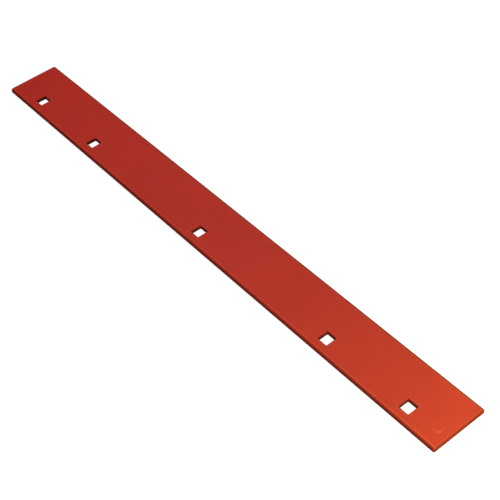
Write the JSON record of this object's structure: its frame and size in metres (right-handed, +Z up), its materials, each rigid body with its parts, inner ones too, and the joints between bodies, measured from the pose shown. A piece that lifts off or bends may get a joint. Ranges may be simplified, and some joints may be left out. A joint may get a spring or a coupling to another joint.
{
  "type": "atv plow blade wear bar",
  "caption": "Long flat wear bar for an ATV snow plow blade: orange-red powder-coated steel with a row of square bolt holes near one long edge.",
  "frame": {"origin": "centre of the underside (the back face), with the bar lying flat", "axes": "+X along the bar, +Y across it from the bolted edge to the scraping edge, +Z up through the thickness, out of the front face"},
  "size_m": [1.27, 0.1142, 0.0095],
  "materials": {
    "plow_paint": "orange-red powder coat, satin"
  },
  "bodies": {
    "root": {"wear_bar": "plow_paint"}
  },
  "joints": []
}
